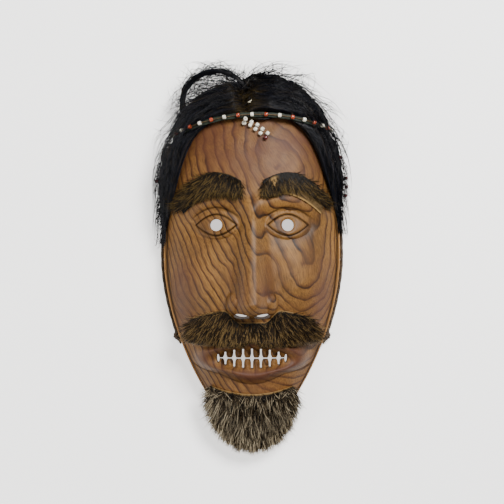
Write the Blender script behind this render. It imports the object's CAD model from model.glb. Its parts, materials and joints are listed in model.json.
import json
import math

import bpy
import numpy as np
from bpy.props import FloatProperty, FloatVectorProperty, IntProperty, PointerProperty
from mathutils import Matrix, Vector


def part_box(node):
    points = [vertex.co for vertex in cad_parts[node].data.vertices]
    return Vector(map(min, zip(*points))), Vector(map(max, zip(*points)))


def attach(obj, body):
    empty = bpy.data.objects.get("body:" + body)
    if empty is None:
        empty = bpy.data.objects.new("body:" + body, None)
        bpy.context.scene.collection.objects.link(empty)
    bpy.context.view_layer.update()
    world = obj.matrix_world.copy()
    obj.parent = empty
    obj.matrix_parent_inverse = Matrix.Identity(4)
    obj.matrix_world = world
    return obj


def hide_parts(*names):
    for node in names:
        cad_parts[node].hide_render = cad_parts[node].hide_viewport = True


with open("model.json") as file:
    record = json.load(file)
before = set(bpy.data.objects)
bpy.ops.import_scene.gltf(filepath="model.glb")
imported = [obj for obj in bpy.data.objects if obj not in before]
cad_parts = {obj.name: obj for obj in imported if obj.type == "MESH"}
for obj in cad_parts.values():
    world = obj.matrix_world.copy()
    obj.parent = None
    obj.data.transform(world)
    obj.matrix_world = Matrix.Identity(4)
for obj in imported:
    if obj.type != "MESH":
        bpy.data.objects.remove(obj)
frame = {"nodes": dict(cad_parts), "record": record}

bl_info = {
    "name": "Carved Dance Mask",
    "version": (1, 0, 0),
    "blender": (4, 5, 0),
    "location": "View3D > Sidebar > Mask",
    "description": "Carves a wooden dance mask with hair, beaded headband, pelt brows and beard",
    "category": "Object",
}

mm = 0.001
full_turn = 2.0 * math.pi
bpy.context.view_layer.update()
body_low, body_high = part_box("mask_body")
mask_middle = np.array([0.5 * (body_low.x + body_high.x), 0.5 * (body_low.y + body_high.y), 0.0])


def linear(hex_colour):
    """Linear red, green and blue of an sRGB hex colour."""
    channels = [int(hex_colour[i:i + 2], 16) / 255.0 for i in (1, 3, 5)]
    return tuple(c / 12.92 if c <= 0.04045 else ((c + 0.055) / 1.055) ** 2.4 for c in channels)


def length(millimetres, name, description):
    """A length whose default is given in millimetres."""
    return FloatProperty(
        name=name, description=description, default=millimetres * mm, unit="LENGTH", precision=4
    )


def fur_lengths(pile, reach, overhang, name):
    """Pile, tuft length and overhang of one pelt's fur, given in millimetres."""
    return FloatVectorProperty(
        name=name, description="Height of the fur, length of a tuft, and how far tips pass the lower edge",
        default=(pile * mm, reach * mm, overhang * mm), unit="LENGTH", size=3, precision=4,
    )


def share(value, name, description):
    """A number without a unit."""
    return FloatProperty(name=name, description=description, default=value)


def count(value, name, description):
    """A whole number of repeats."""
    return IntProperty(name=name, description=description, default=value, min=1)


def tint(hex_colour, name, description):
    """A colour whose default is given in sRGB hex."""
    return FloatVectorProperty(
        name=name, description=description, default=linear(hex_colour),
        subtype="COLOR", size=3, min=0.0, max=1.0,
    )


class MaskFaceSizes(bpy.types.PropertyGroup):
    """Sizes of the carved wooden face, measured from the middle of the mask."""

    half_width: length(76, "Half width", "Half the width of the wood")
    half_height: length(147, "Half height", "Half the height of the wood")
    outline_power: share(2.4, "Outline power", "2 is an ellipse, more is squarer")
    chin_narrowing: share(0.40, "Chin narrowing", "Share of the width lost at the chin")
    rim_height: length(12, "Rim height", "Height of the side at the outline")
    dome_height: length(53, "Dome height", "Height of the plain blank in the middle")
    dome_power: share(2.4, "Dome power", "How flat the blank is in its middle")
    dome_steepness: share(0.62, "Dome steepness", "How round the blank's shoulder is")
    wall: length(10, "Wall", "Thickness of the wood")
    brow_level: length(49, "Brow level", "Height of the brow line")
    eye_level: length(29, "Eye level", "Height of the eyes")
    nose_base_level: length(-49, "Nose base level", "Height of the underside of the nose")
    mouth_level: length(-83, "Mouth level", "Height of the bite between the teeth")
    chin_level: length(-122, "Chin level", "Height of the ball of the chin")
    brow_ridge: length(4.5, "Brow ridge", "Height of the brow over the blank")
    eye_offset: length(30, "Eye offset", "Distance of an eye from the middle")
    eye_half_length: length(17, "Eye half length", "Half the length of an eye")
    eye_half_height: length(9, "Eye half height", "Half the height of an eye")
    pupil: length(10, "Pupil", "Diameter of an eye hole")
    eye_socket: length(6.5, "Eye socket", "Depth of the socket under the blank")
    eyeball: length(5.5, "Eyeball", "Height of the eyeball in its socket")
    lid_fold: length(14.5, "Lid fold", "Height of the fold over the eye")
    nose_height: length(24, "Nose height", "Height of the nose tip over the face")
    nose_half_width: length(14.5, "Nose half width", "Half the width of the nose at its tip")
    nose_tip_rise: length(12, "Nose tip rise", "Height of the tip over the underside, along the face")
    wing_offset: length(13.5, "Wing offset", "Distance of a nose wing from the middle")
    wing_half_width: length(8.5, "Wing half width", "Half the width of a nose wing")
    wing_half_height: length(11, "Wing half height", "Half the height of a nose wing")
    wing_depth: length(12, "Wing depth", "Height of a nose wing over the face")
    nostril_offset: length(8.5, "Nostril offset", "Distance of a nostril from the middle")
    nostril_half_length: length(6.5, "Nostril half length", "Half the length of a nostril")
    nostril_half_height: length(3.6, "Nostril half height", "Half the height of a nostril")
    nostril_slant: share(0.2, "Nostril slant", "How far a nostril leans up the face as it goes in")
    nostril_level: length(56, "Nostril level", "Height at which a nostril has its stated place")
    cheek_height: length(4.5, "Cheek height", "Height of the cheek over the blank")
    cheek_offset: length(44, "Cheek offset", "Distance of the cheek from the middle")
    cheek_level: length(-22, "Cheek level", "Height of the middle of the cheek")
    chin_height: length(6, "Chin height", "Height of the chin over the blank")
    mouth_half_length: length(31, "Mouth half length", "Half the length of the mouth")
    mouth_half_height: length(9, "Mouth half height", "Half the height of the open mouth")
    mouth_recess: length(2.5, "Mouth recess", "Depth of the teeth under the blank")
    lip_height: length(5.5, "Lip height", "Height of the lips over the blank")
    lip_offset: length(5.5, "Lip offset", "Distance of the lips' ridge from the open mouth")
    tooth_pitch: length(7.5, "Tooth pitch", "Distance from tooth to tooth")
    tooth_gap: length(2.0, "Tooth gap", "Width of the gap between two teeth")
    tooth_bulge: length(1.3, "Tooth bulge", "Roundness of one tooth")
    bite_slit: length(1.5, "Bite slit", "Gap between the upper and the lower teeth")
    gaps_each_side: count(3, "Gaps each side", "Gaps between teeth on each side of the middle")
    incised_depth: length(0.9, "Incised depth", "Depth of the incised lines")
    facet_depth: length(0.16, "Facet depth", "Depth of the knife facets")
    scallop_depth: length(0.9, "Scallop depth", "Depth of the adze marks in the hollow")


class MaskHairSizes(bpy.types.PropertyGroup):
    """Sizes of the hair cap and its open loop, and numbers of their hairs."""

    margin_end: length(3.5, "Margin at the ends", "How far the hair stands out at the temples' lower ends")
    margin_top: length(13.5, "Margin at the top", "How far the hair stands out over the crown")
    inset_end: length(5, "Inset at the ends", "How far the hair reaches in at the lower ends")
    inset_side: length(11, "Inset at the sides", "How far the hair reaches in at the temples")
    inset_crown: length(17.5, "Inset at the crown", "Further reach to the headband")
    bulge_end: length(8, "Bulge at the ends", "Thickness of the hair at the lower ends")
    bulge_top: length(17, "Bulge at the top", "Thickness of the hair over the crown")
    lowest: length(3, "Lowest", "Height of the hair's underside over the rim plane")
    clump: length(0.5, "Clump", "Height of one lock over the next")
    clumps: count(14, "Clumps", "Locks counted round the crown")
    hair_radius: length(0.26, "Hair radius", "Drawn radius of one lock of a few hairs")
    flyaway_radius: length(0.23, "Flyaway radius", "Drawn radius of one loose hair")
    cap_hairs: count(3100, "Cap hairs", "Locks drawn on each side of the parting")
    loop_hairs: count(430, "Loop hairs", "Locks drawn in the open loop")
    flyaways: count(1300, "Flyaways", "Loose hairs standing off the cap")
    tangled: count(150, "Tangled hairs", "Thin hairs across the loop's opening")
    loop_strays: count(220, "Loop strays", "Loose hairs that leave the loop")
    loop_middle_x: length(-31, "Loop middle across", "Place of the loop's middle across the face")
    loop_middle_y: length(134, "Loop middle up", "Place of the loop's middle up the face")
    loop_half_width: length(29, "Loop half width", "Half the width of the loop's middle line")
    loop_half_height: length(27.3, "Loop half height", "Half the height of the loop's middle line")
    loop_level: length(17, "Loop level", "Height of the loop's ends over the rim plane")
    loop_rise: length(5, "Loop rise", "Further height in the loop's middle")
    loop_spread: length(2.2, "Loop spread", "Radius of the loop's bundle of hair")


class MaskBandSizes(bpy.types.PropertyGroup):
    """Sizes of the headband and its beads."""

    half_span: length(66, "Half span", "Half the width that the band spans")
    level: length(122, "Level", "Height of the band's middle")
    drop: length(13.5, "Drop", "How far the ends lie below the middle")
    tilt: share(0.035, "Tilt", "Rise of the band for each step to the right")
    crown: length(41.5, "Crown", "Height of the band's middle over the rim plane")
    power: share(2.7, "Power", "Superellipse power of the band's arch")
    reach: share(0.975, "Reach", "Part of the half turn that the band covers")
    width: length(4.4, "Width", "Width of the strip")
    thickness: length(1.3, "Thickness", "Thickness of the strip")
    bead_diameter: length(3.6, "Bead diameter", "Outside diameter of a bead")
    bead_length: length(2.9, "Bead length", "Length of a bead along its hole")
    bead_hole: length(0.9, "Bead hole", "Diameter of a bead's hole")
    thread_radius: length(0.3, "Thread radius", "Radius of the sinew thread")
    thread_sag: length(1.1, "Thread sag", "How far the thread dips between the band's beads")


class MaskPeltSizes(bpy.types.PropertyGroup):
    """Sizes of the brows, the moustache and the goatee, and of their fur."""

    fur_radius: length(0.27, "Fur radius", "Drawn radius of one tuft of fur")
    brow_hairs: count(2000, "Brow tufts", "Tufts drawn on one brow")
    moustache_hairs: count(5100, "Moustache tufts", "Tufts drawn on the moustache")
    goatee_hairs: count(5100, "Goatee tufts", "Tufts drawn on the goatee")
    under_gap: length(0.3, "Gap below", "Gap between a pelt's underside and the wood")
    hide: length(0.9, "Hide", "Thickness of the bare hide")
    brow_start: length(9, "Brow start", "Distance of a brow's inner end from the middle")
    brow_length: length(50, "Brow length", "Length of a brow across the face")
    brow_half_width: length(8.5, "Brow half width", "Half the width of a brow")
    brow_arch: length(12, "Brow arch", "Height of a brow's arch")
    brow_fall: length(15, "Brow fall", "How far a brow's outer end falls")
    left_fur: fur_lengths(3.8, 15, 9, "Left brow fur")
    right_fur: fur_lengths(2, 13, 4, "Worn right brow fur")
    moustache_half: length(54, "Moustache half width", "Half the width of the moustache")
    moustache_top: length(-52.5, "Moustache top", "Height of its top edge in the middle")
    moustache_low: length(-73, "Moustache low", "Height of its lower edge")
    moustache_notch: length(5, "Moustache notch", "Depth of the notch in its lower edge")
    moustache_fur: fur_lengths(7, 17, 1.8, "Moustache fur")
    goatee_half: length(35, "Goatee half width", "Half the width of the goatee")
    goatee_top: length(-113, "Goatee top", "Height of its top edge in the middle")
    goatee_depth: length(51.5, "Goatee depth", "Length of the goatee down from its top")
    goatee_fur: fur_lengths(9, 19, 4.5, "Goatee fur")


class MaskThongSizes(bpy.types.PropertyGroup):
    """Sizes of the two thongs along the rim."""

    top: length(26, "Top", "Height of a thong's upper end")
    end: length(-73, "End", "Height of a thong's lower end")
    level: length(6, "Level", "Height over the rim plane")
    radius: length(1.35, "Radius", "Radius of a thong")
    gap: length(1.6, "Gap", "Distance of a thong's middle from the rim")
    knot_at: length(-66, "Knot at", "Height of the knot")
    knot_radius: length(1.15, "Knot radius", "What the knot adds to the radius")
    knot_shift: length(1.3, "Knot shift", "How far the knot stands out")


class MaskColours(bpy.types.PropertyGroup):
    """Colours of the mask's finishes."""

    wood_base: tint("#5E3F20", "Wood", "Tone between the growth lines where they fade")
    wood_light: tint("#785428", "Early wood", "Light part of each growth ring")
    wood_mid: tint("#4F3115", "Middle wood", "Middle of each growth ring")
    wood_dark: tint("#201206", "Late wood", "Dark line that ends each growth ring")
    wood_stain: tint("#45271B", "Stain", "Purplish brown stain on raised places")
    wood_line: tint("#150C05", "Incised line", "Dark filling of the incised lines")
    wood_worn: tint("#A97C4A", "Worn edge", "Rubbed edge of the rim")
    hair: tint("#07080C", "Hair", "Black hair")
    hair_cool: tint("#1A1B24", "Cool lock", "Blue-black of the lighter locks")
    hair_brown: tint("#2E261B", "Brown lock", "Brown-black of a few locks")
    scalp: tint("#40341C", "Scalp hide", "Brown hide at the parting")
    fur_root: tint("#080502", "Fur root", "Dark root of the fur")
    fur_middle: tint("#33240F", "Fur middle", "Brown middle of the fur")
    fur_tip: tint("#A58C5C", "Fur tip", "Tan tip of the fur")
    pelt_skin: tint("#86683C", "Pelt skin", "Bare hide along a pelt's edge")
    band: tint("#10150F", "Band", "Dark green-black hide of the headband")
    thong: tint("#2A2019", "Thong", "Dark hide of the rim thongs")
    bead_white: tint("#D8D2C0", "White bead", "White glass")
    bead_coral: tint("#94391F", "Coral bead", "Coral red glass")
    bead_red: tint("#4A0C0E", "Dark red bead", "Dark red glass")
    band_rubbed: tint("#232A1D", "Rubbed band", "Headband where it is rubbed")
    thong_rubbed: tint("#5A4A38", "Rubbed thong", "Thongs where they are rubbed")
    sinew: tint("#3A2C1C", "Sinew", "Thread of the beads")
    sinew_rubbed: tint("#6B5636", "Rubbed sinew", "Thread where it is rubbed")
    bare_hide: tint("#8E8671", "Bare hide", "Scale of bare hide on the parting")
    bare_hide_rubbed: tint("#B9B19A", "Rubbed bare hide", "The bare scale where it is rubbed")
    floor: tint("#F2F1EF", "Floor", "Pale studio floor")


# Forms shared by the pieces

def bell(value):
    """exp(-value squared): 1 at zero, nothing past about 2."""
    return np.exp(-value * value)


def step_up(value, low, high):
    """0 below low and 1 above high, with the cubic 3t^2 - 2t^3 between."""
    t = np.clip((value - low) / (high - low), 0.0, 1.0)
    return t * t * (3.0 - 2.0 * t)


def narrowing(face, y, half_height):
    """1 less the chin's narrowing times (depth below the middle as a share) to the power 1.5."""
    down = np.clip(-y / half_height, 0.0, 1.0)
    return 1.0 - face.chin_narrowing * down ** 1.5


def edge_share(face, x, y, grow=0.0):
    """Superellipse distance: 0 at the middle, 1 on the narrowed outline, which may be grown by a length."""
    half_height = face.half_height + grow
    across = np.abs(x) / ((face.half_width + grow) * narrowing(face, y, half_height))
    along = np.abs(y) / half_height
    power = face.outline_power
    return (across ** power + along ** power) ** (1.0 / power)


def outline_point(face, angle):
    """The outline's point in a direction: the superellipse's reach by cosine and sine, then narrowed."""
    c = np.cos(angle)
    s = np.sin(angle)
    power = face.outline_power
    reach = 1.0 / (np.abs(c) ** power + np.abs(s) ** power) ** (1.0 / power)
    y = face.half_height * s * reach
    return face.half_width * narrowing(face, y, face.half_height) * c * reach, y


def outline_normal(face, angle):
    """The outward direction: the chord between two close points, turned a quarter."""
    small = 0.01
    x1, y1 = outline_point(face, angle - small)
    x2, y2 = outline_point(face, angle + small)
    size = np.hypot(x2 - x1, y2 - y1)
    return (y2 - y1) / size, -(x2 - x1) / size


def nose_form(face, x, y):
    """The ridge rises as a power of the way down to the tip; a round underside and half-ellipsoid wings."""
    top = face.brow_level - 6 * mm
    tip = face.nose_base_level + face.nose_tip_rise
    along = np.clip((top - y) / (top - tip), 0.0, 1.0)
    ridge = face.nose_height * (0.2 + 0.8 * along ** 1.35)
    under = np.clip((tip - y) / (tip - face.nose_base_level), 0.0, 1.0)
    ridge = ridge * np.sqrt(np.clip(1.0 - under * under, 0.0, 1.0))
    ridge = ridge * step_up(-y, -top - 14 * mm, -top + 4 * mm)
    half_width = face.nose_half_width * (0.5 + 0.5 * along)
    ridge = ridge * np.exp(-(np.abs(x) / half_width) ** 2.6)
    wing_x = (np.abs(x) - face.wing_offset) / face.wing_half_width
    wing_y = (y - tip) / face.wing_half_height
    wings = face.wing_depth * np.sqrt(np.clip(1.0 - wing_x ** 2 - wing_y ** 2, 0.0, 1.0))
    return np.maximum(ridge, wings)


def mouth_distance(face, x, y):
    """Distance out from the mouth's lens: its ellipse share less one, times the distance to its middle."""
    away = y - face.mouth_level
    part = np.hypot(x / face.mouth_half_length, away / face.mouth_half_height)
    scale = np.hypot(x, away) / np.maximum(part, 0.05)
    return (part - 1.0) * np.minimum(scale, 2.0 * face.mouth_half_height)


def face_height(face, x, y):
    """Height of the front: the dome over the superellipse share, and bells for the face's own forms."""
    side = np.abs(x)
    rim = np.minimum(edge_share(face, x, y), 1.0)
    dome = (1.0 - rim ** face.dome_power) ** face.dome_steepness
    height = face.rim_height + (face.dome_height - face.rim_height) * dome
    inside = 1.0 - step_up(edge_share(face, x, y), 0.86, 1.0)
    brow_line = face.brow_level - 6 * mm * ((side - 26 * mm) / (26 * mm)) ** 2
    brow = face.brow_ridge * bell((y - brow_line) / (9 * mm)) * bell((side - 30 * mm) / (30 * mm))
    socket = face.eye_socket * bell((side - face.eye_offset) / (21 * mm))
    socket = socket * bell((y - face.eye_level - 3 * mm) / (14 * mm))
    ball_x = (side - face.eye_offset) / (face.eye_half_length + 2 * mm)
    ball_y = (y - face.eye_level) / (face.eye_half_height + 3 * mm)
    ball = face.eyeball * np.clip(1.0 - ball_x ** 2 - ball_y ** 2, 0.0, 1.0) ** 0.7
    cheek = face.cheek_height * bell((side - face.cheek_offset) / (20 * mm))
    cheek = cheek * bell((y - face.cheek_level) / (28 * mm))
    out = mouth_distance(face, x, y)
    lips = face.lip_height * bell((out - face.lip_offset) / (5 * mm))
    lips = lips * step_up(face.nose_base_level - y, 2 * mm, 16 * mm)
    recess = face.mouth_recess * step_up(-out, -0.5 * mm, 3 * mm)
    chin = face.chin_height * bell(x / (25 * mm)) * bell((y - face.chin_level) / (16 * mm))
    features = brow - socket + ball + cheek + lips - recess + chin + nose_form(face, x, y)
    return height + features * inside


def lid_distance(face, x, y):
    """Distance to the nearest eye's almond: half height times one less the way along to the power 1.8."""
    side = np.abs(x) - face.eye_offset
    along = np.clip(np.abs(side) / face.eye_half_length, 0.0, 1.0)
    lid = face.eye_half_height * (1.0 - along ** 1.8)
    beyond = np.maximum(np.abs(side) - face.eye_half_length, 0.0)
    return np.hypot(np.abs(y - face.eye_level) - lid, beyond)


def rim_distance(face, x, y):
    """Distance in from the outline, along the ray from the middle."""
    rim = np.maximum(edge_share(face, x, y), 1e-6)
    return np.hypot(x, y) * (1.0 / rim - 1.0)


def incised(face, x, y):
    """1 in the dark lines round the eyes, over the lids, inside the rim and under the lip, else 0."""
    eye = bell(lid_distance(face, x, y) / (0.85 * mm))
    side = np.abs(x)
    fold_half = 22 * mm
    fold_line = face.eye_level + face.lid_fold - 11 * mm * ((side - face.eye_offset) / fold_half) ** 2
    fold = bell((y - fold_line) / (0.8 * mm))
    fold = fold * step_up(fold_half - np.abs(side - face.eye_offset), 0.0, 6 * mm)
    rim = bell((rim_distance(face, x, y) - 3.4 * mm) / (0.9 * mm))
    lip = bell((mouth_distance(face, x, y) - 12.5 * mm) / (0.7 * mm))
    lip = lip * step_up(face.mouth_level - y, 2 * mm, 8 * mm)
    return np.clip(eye + 0.75 * fold + rim + 0.6 * lip, 0.0, 1.0)


def carved_height(face, x, y):
    """The front with its fine carving: incised lines, rounded teeth, soft hole edges, knife facets."""
    height = face_height(face, x, y)
    height = height - face.incised_depth * incised(face, x, y)
    facets = np.sin(x / (3.1 * mm) + 1.7 * np.sin(y / (7.3 * mm)))
    facets = facets * np.sin(y / (4.3 * mm) + 1.3 * np.sin(x / (9 * mm)))
    height = height + face.facet_depth * facets * step_up(rim_distance(face, x, y), 2 * mm, 8 * mm)
    out = mouth_distance(face, x, y)
    tooth = np.cos(full_turn * (x / face.tooth_pitch - 0.5))
    bite = bell((y - face.mouth_level) / (1.6 * mm))
    teeth = (face.tooth_bulge * tooth - 1.6 * mm * bite) * step_up(-out, 0.0, 2 * mm)
    pupil = np.hypot(np.abs(x) - face.eye_offset, y - face.eye_level) - 0.5 * face.pupil
    hole = 0.7 * mm * bell(pupil / (1.0 * mm))
    return height + teeth - hole


def dense_rows(face, amount):
    """Rows from -1 to 1, spaced by a density that peaks at the mouth, the nose base and the eyes."""
    fine = np.linspace(-1.0, 1.0, 600)
    y = fine * face.half_height
    density = 0.7 + 0.9 * bell((y - face.mouth_level) / (24 * mm))
    density = density + 0.3 * bell((y - face.nose_base_level) / (26 * mm))
    density = density + 0.6 * bell((y - face.eye_level) / (24 * mm))
    total = np.cumsum(density)
    total = (total - total[0]) / (total[-1] - total[0])
    return np.interp(np.linspace(0.0, 1.0, amount + 1), total, fine)


def square_to_mask(face, columns, rows, inset=0.0):
    """A square grid bent to a disc (u times the root of 1 - v^2/2) and on to the mask's superellipse."""
    u, v = np.meshgrid(columns, rows)
    a = u * np.sqrt(1.0 - 0.5 * v * v)
    b = v * np.sqrt(1.0 - 0.5 * u * u)
    radius = np.hypot(a, b)
    middle = radius < 1e-9
    across = np.where(middle, 1.0, np.abs(a) / np.where(middle, 1.0, radius))
    along = np.where(middle, 0.0, np.abs(b) / np.where(middle, 1.0, radius))
    power = face.outline_power
    reach = 1.0 / (across ** power + along ** power) ** (1.0 / power)
    half_height = face.half_height - inset
    y = half_height * b * reach
    return (face.half_width - inset) * narrowing(face, y, half_height) * a * reach, y


# Meshes from arrays

def grid_quads(rows, columns, closed=False):
    """Quads of a grid stored row by row; closed joins its last column to its first."""
    index = np.arange(rows * columns).reshape(rows, columns)
    beside = np.roll(index, -1, axis=1) if closed else index[:, 1:]
    here = index if closed else index[:, :-1]
    corners = (here[:-1], beside[:-1], beside[1:], here[1:])
    return np.stack(corners, axis=-1).reshape(-1, 4)


def rim_loop(rows, columns):
    """Indices round the edge of a grid."""
    index = np.arange(rows * columns).reshape(rows, columns)
    return np.concatenate([index[0, :-1], index[:-1, -1], index[-1, :0:-1], index[:0:-1, 0]])


def ring_band(first, second):
    """Quads between two loops of as many points each."""
    return np.stack([first, second, np.roll(second, -1), np.roll(first, -1)], axis=-1)


def new_piece(name, points, faces, material, attributes=None, crease=40.0, shifted=True):
    """An object from one array of points and a list of face arrays, with float attributes on its points."""
    points = np.asarray(points, float) + (mask_middle if shifted else 0.0)
    mesh = bpy.data.meshes.new(name)
    loops = np.concatenate([group.reshape(-1) for group in faces]).astype(np.int32)
    sizes = np.concatenate([np.full(len(group), group.shape[1]) for group in faces])
    starts = np.concatenate([[0], np.cumsum(sizes)[:-1]]).astype(np.int32)
    mesh.vertices.add(len(points))
    mesh.vertices.foreach_set("co", points.astype(np.float32).reshape(-1))
    mesh.loops.add(len(loops))
    mesh.loops.foreach_set("vertex_index", loops)
    mesh.polygons.add(len(starts))
    mesh.polygons.foreach_set("loop_start", starts)
    mesh.update(calc_edges=True)
    mesh.validate()
    mesh.shade_smooth()
    if crease:
        mesh.set_sharp_from_angle(angle=math.radians(crease))
    for label, values in (attributes or {}).items():
        layer = mesh.attributes.new(label, "FLOAT", "POINT")
        layer.data.foreach_set("value", np.asarray(values, np.float32).reshape(-1))
    mesh.materials.append(material)
    piece = bpy.data.objects.new(name, mesh)
    bpy.context.scene.collection.objects.link(piece)
    return piece


def place(piece, slot, *nodes):
    """Makes the piece ride with the mask, in its finish, instead of the solids that it stands for."""
    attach(piece, "root")
    if nodes:
        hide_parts(*nodes)
    return piece


def closed_relief(x, y, z, floor):
    """Points and faces of the solid under a relief: the grid, walls at its edge and one flat face below."""
    rows, columns = x.shape
    top = np.stack([x, y, z], axis=-1).reshape(-1, 3)
    edge = rim_loop(rows, columns)
    below = top[edge].copy()
    below[:, 2] = floor
    lower = len(top) + np.arange(len(edge))
    walls = ring_band(edge, lower)
    return np.concatenate([top, below]), [grid_quads(rows, columns), walls, lower[None, ::-1]]


def prism(outline, low, high, slant=0.0, level=0.0):
    """Points and faces of a prism on an outline at a level; a slant leans it up the face as it goes in."""
    outline = np.asarray(outline, float)
    amount = len(outline)
    bottom = np.column_stack([outline[:, 0], outline[:, 1] + slant * (level - low), np.full(amount, low)])
    top = np.column_stack([outline[:, 0], outline[:, 1] + slant * (level - high), np.full(amount, high)])
    first = np.arange(amount)
    walls = ring_band(first + amount, first)
    return np.concatenate([bottom, top]), [walls, first[None, ::-1], first[None, :] + amount]


def joined(solids):
    """Points and faces of several solids as one mesh."""
    points = []
    faces = []
    start = 0
    for solid_points, solid_faces in solids:
        points.append(solid_points)
        faces.extend(group + start for group in solid_faces)
        start += len(solid_points)
    return np.concatenate(points), faces


def rings_to_tube(rings):
    """Points and faces of a closed tube from its rings, given as stations by sides by three."""
    stations, sides, _ = rings.shape
    first = np.arange(sides)
    last = first + (stations - 1) * sides
    walls = grid_quads(stations, sides, closed=True)
    return rings.reshape(-1, 3), [walls, first[None, ::-1], last[None, :]]


def path_frames(path):
    """Directions ahead, across and second of a path's stations: across is square to ahead and to Z."""
    ahead = np.gradient(path, axis=-2)
    ahead = ahead / np.linalg.norm(ahead, axis=-1, keepdims=True)
    upright = np.abs(ahead[..., 2:3]) > 0.95
    guide = np.where(upright, np.array([1.0, 0.0, 0.0]), np.array([0.0, 0.0, 1.0]))
    across = np.cross(ahead, guide)
    across = across / np.linalg.norm(across, axis=-1, keepdims=True)
    return ahead, across, np.cross(ahead, across)


def round_tube(path, radii, sides):
    """A circle carried along a path, its radius given at each station."""
    _, across, second = path_frames(np.asarray(path, float))
    turn = full_turn * np.arange(sides) / sides
    circle = across[:, None, :] * np.cos(turn)[None, :, None]
    circle = circle + second[:, None, :] * np.sin(turn)[None, :, None]
    return rings_to_tube(np.asarray(path)[:, None, :] + circle * np.asarray(radii)[:, None, None])


def hair_solids(paths, radii):
    """Three-sided tapered hairs: a triangle at each station, closed at the root and drawn to a point."""
    hairs, stations, _ = paths.shape
    _, across, second = path_frames(paths)
    turn = full_turn * np.arange(3) / 3.0
    circle = across[:, :-1, None, :] * np.cos(turn)[:, None]
    circle = circle + second[:, :-1, None, :] * np.sin(turn)[:, None]
    rings = paths[:, :-1, None, :] + circle * radii[:, :-1, None, None]
    points = np.concatenate([rings.reshape(hairs, -1, 3), paths[:, -1:, :]], axis=1)
    each = points.shape[1]
    start = (each * np.arange(hairs))[:, None, None]
    sides = grid_quads(stations - 1, 3, closed=True)[None] + start
    tip_ring = 3 * (stations - 2) + np.arange(3)
    tips = np.stack([tip_ring, np.roll(tip_ring, -1), np.full(3, each - 1)], axis=-1)[None] + start
    roots = np.array([[2, 1, 0]])[None] + start
    along = np.repeat(np.linspace(0.0, 1.0, stations)[:-1], 3)
    along = np.tile(np.append(along, 1.0), hairs)
    return points.reshape(-1, 3), [sides.reshape(-1, 4), tips.reshape(-1, 3), roots.reshape(-1, 3)], along


def per_hair(values, stations):
    """One value for each hair, repeated on all of its points."""
    return np.repeat(values, 3 * (stations - 1) + 1)


# Materials

def add_node(tree, kind, links=None, stops=None, **fields):
    """Adds a node, sets its fields, sets or links its inputs by name, and fills a colour ramp's stops."""
    made = tree.nodes.new(kind)
    for field, value in fields.items():
        setattr(made, field, value)
    for key, value in (links or {}).items():
        if isinstance(value, bpy.types.NodeSocket):
            tree.links.new(value, made.inputs[key])
        else:
            made.inputs[key].default_value = value
    if stops:
        ramp = made.color_ramp
        while len(ramp.elements) < len(stops):
            ramp.elements.new(1.0)
        for element, (position, rgb) in zip(ramp.elements, stops):
            element.position = position
            element.color = (*rgb, 1.0)
    return made


def new_material(name, **values):
    """A Principled material with plain values, its node tree and its shader."""
    material = bpy.data.materials.new(name)
    material.use_nodes = True
    tree = material.node_tree
    shader = tree.nodes["Principled BSDF"]
    for key, value in values.items():
        shader.inputs[key.replace("_", " ")].default_value = value
    return material, tree, shader


def grey(value):
    """A grey with the given linear value."""
    return (value, value, value)


def noise(tree, vector, scale, detail, roughness=0.5):
    """Soft noise of a scale in swells for each metre."""
    values = {"Vector": vector, "Scale": scale, "Detail": detail, "Roughness": roughness}
    return add_node(tree, "ShaderNodeTexNoise", values)


def ramp(tree, value, *stops):
    """A colour from a value, by positions and linear colours."""
    return add_node(tree, "ShaderNodeValToRGB", {"Fac": value}, stops=stops).outputs["Color"]


def blended(tree, part, first, second, way="MIX"):
    """A colour a part of the way from the first to the second, or to their product."""
    colour_inputs = {"Factor": part, 6: first, 7: second}
    return add_node(tree, "ShaderNodeMix", colour_inputs, data_type="RGBA", blend_type=way).outputs[2]


def painted(tree, name):
    """A value painted on the mesh's points."""
    return add_node(tree, "ShaderNodeAttribute", attribute_name=name).outputs["Fac"]


def held_range(tree, value, low, high, to_low, to_high):
    """A value brought from one range to another and held inside it."""
    values = {"Value": value, "From Min": low, "From Max": high, "To Min": to_low, "To Max": to_high}
    return add_node(tree, "ShaderNodeMapRange", values).outputs[0]


def worked_out(tree, way, *values):
    """The result of one sum on values or sockets."""
    return add_node(tree, "ShaderNodeMath", dict(enumerate(values)), operation=way).outputs[0]


def worked_out_vector(tree, way, first, second):
    """The result of one sum on two vectors."""
    return add_node(tree, "ShaderNodeVectorMath", {0: first, 1: second}, operation=way).outputs[0]


def roughen(tree, shader, height, strength, depth):
    """Lets a height ruffle the shaded surface."""
    bump = add_node(tree, "ShaderNodeBump", {"Height": height, "Strength": strength, "Distance": depth})
    tree.links.new(bump.outputs[0], shader.inputs["Normal"])


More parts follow.
